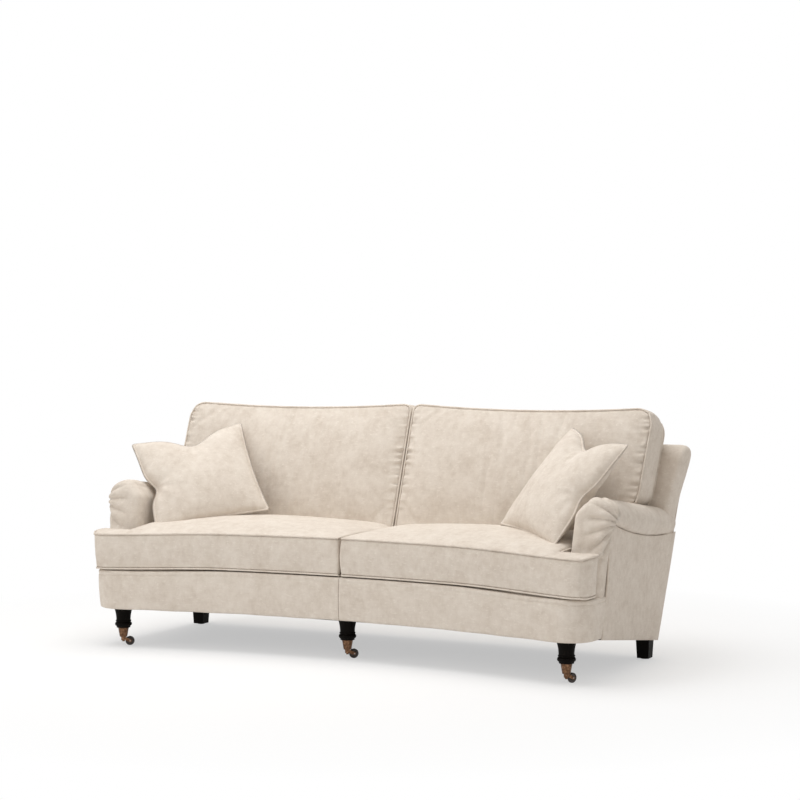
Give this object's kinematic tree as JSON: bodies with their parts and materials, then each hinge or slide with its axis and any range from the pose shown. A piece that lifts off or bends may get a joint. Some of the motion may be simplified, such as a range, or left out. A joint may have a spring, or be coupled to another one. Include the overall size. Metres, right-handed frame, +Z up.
{
  "type": "curved sofa",
  "caption": "Curved sofa with a concave front, low rolled arms, loose piped seat, back and scatter cushions, turned front legs on brass cup castors and square rear legs.",
  "frame": {"origin": "on the floor, under the middle of the sofa's overall box", "axes": "+X to the sofa's right as seen from the front, +Y to the rear, +Z up; the front faces -Y"},
  "size_m": [2.0548, 0.9768, 0.8877],
  "materials": {
    "linen": "mottled beige woven linen, matt",
    "cushion_filling": "soft filling in a ticking",
    "frame_timber": "sawn hardwood",
    "webbing": "elastic woven webbing",
    "dust_cloth": "black bottoming cloth",
    "black_wood": "black satin lacquer",
    "castor_brass": "antique brass",
    "wheel": "dark brown, worn",
    "steel": "plain steel",
    "felt": "grey-brown felt"
  },
  "bodies": {
    "frame": {"back_middle_post": "frame_timber", "back_top_rail": "frame_timber", "back_webbing": "webbing", "centre_rail": "frame_timber", "corner_blocks": "frame_timber", "dust_cover": "dust_cloth", "front_rail": "frame_timber", "inside_back_pad": "linen", "left_arm_pad": "linen", "left_arm_post": "frame_timber", "left_arm_rail": "frame_timber", "left_back_post": "frame_timber", "left_castor_cup": "castor_brass", "left_front_border": "linen", "left_front_leg": "black_wood", "left_outer_arm_panel": "linen", "left_rear_leg": "black_wood", "left_side_rail": "frame_timber", "leg_studs": "steel", "middle_castor_cup": "castor_brass", "middle_front_leg": "black_wood", "outside_back_panel": "linen", "rear_glides": "felt", "rear_rail": "frame_timber", "right_arm_pad": "linen", "right_arm_post": "frame_timber", "right_arm_rail": "frame_timber", "right_back_post": "frame_timber", "right_castor_cup": "castor_brass", "right_front_border": "linen", "right_front_leg": "black_wood", "right_outer_arm_panel": "linen", "right_rear_leg": "black_wood", "right_side_rail": "frame_timber", "seat_deck": "linen", "seat_webbing": "webbing"},
    "left_seat_cushion": {"left_seat_cushion": "linen", "left_seat_cushion_filling": "cushion_filling"},
    "left_back_cushion": {"left_back_cushion": "linen", "left_back_cushion_filling": "cushion_filling"},
    "left_scatter_cushion": {"left_scatter_cushion": "linen", "left_scatter_cushion_filling": "cushion_filling"},
    "right_seat_cushion": {"right_seat_cushion": "linen", "right_seat_cushion_filling": "cushion_filling"},
    "right_back_cushion": {"right_back_cushion": "linen", "right_back_cushion_filling": "cushion_filling"},
    "right_scatter_cushion": {"right_scatter_cushion": "linen", "right_scatter_cushion_filling": "cushion_filling"},
    "left_castor_fork": {"left_castor_horn": "castor_brass", "left_castor_axle": "steel"},
    "left_castor_wheel": {"left_castor_wheel": "wheel"},
    "middle_castor_fork": {"middle_castor_horn": "castor_brass", "middle_castor_axle": "steel"},
    "middle_castor_wheel": {"middle_castor_wheel": "wheel"},
    "right_castor_fork": {"right_castor_horn": "castor_brass", "right_castor_axle": "steel"},
    "right_castor_wheel": {"right_castor_wheel": "wheel"}
  },
  "joints": [
    {"name": "left_seat_cushion_lift", "type": "slide", "parent": "frame", "child": "left_seat_cushion", "axis": [0, 0, 1], "range_m": [0, 0.33]},
    {"name": "left_back_cushion_lift", "type": "slide", "parent": "left_seat_cushion", "child": "left_back_cushion", "axis": [0, 0.3295, 0.9442], "range_m": [0, 0.4]},
    {"name": "left_scatter_cushion_lift", "type": "slide", "parent": "left_seat_cushion", "child": "left_scatter_cushion", "axis": [0, 0, 1], "range_m": [0, 0.36]},
    {"name": "right_seat_cushion_lift", "type": "slide", "parent": "frame", "child": "right_seat_cushion", "axis": [0, 0, 1], "range_m": [0, 0.33]},
    {"name": "right_back_cushion_lift", "type": "slide", "parent": "right_seat_cushion", "child": "right_back_cushion", "axis": [0, 0.3295, 0.9442], "range_m": [0, 0.4]},
    {"name": "right_scatter_cushion_lift", "type": "slide", "parent": "right_seat_cushion", "child": "right_scatter_cushion", "axis": [0, 0, 1], "range_m": [0, 0.36]},
    {"name": "left_castor_swivel", "type": "hinge", "parent": "frame", "child": "left_castor_fork", "pos_m": [-0.894, -0.41841, 0.026], "axis": [0, 0, 1], "continuous": true},
    {"name": "left_castor_roll", "type": "hinge", "parent": "left_castor_fork", "child": "left_castor_wheel", "pos_m": [-0.87562, -0.40298, 0.017], "axis": [-0.6428, 0.766, 0], "continuous": true},
    {"name": "middle_castor_swivel", "type": "hinge", "parent": "frame", "child": "middle_castor_fork", "pos_m": [0, -0.30113, 0.026], "axis": [0, 0, 1], "continuous": true},
    {"name": "middle_castor_roll", "type": "hinge", "parent": "middle_castor_fork", "child": "middle_castor_wheel", "pos_m": [0.01606, -0.2833, 0.017], "axis": [-0.7431, 0.6691, 0], "continuous": true},
    {"name": "right_castor_swivel", "type": "hinge", "parent": "frame", "child": "right_castor_fork", "pos_m": [0.894, -0.41841, 0.026], "axis": [0, 0, 1], "continuous": true},
    {"name": "right_castor_roll", "type": "hinge", "parent": "right_castor_fork", "child": "right_castor_wheel", "pos_m": [0.90527, -0.39722, 0.017], "axis": [-0.8829, 0.4695, 0], "continuous": true}
  ]
}
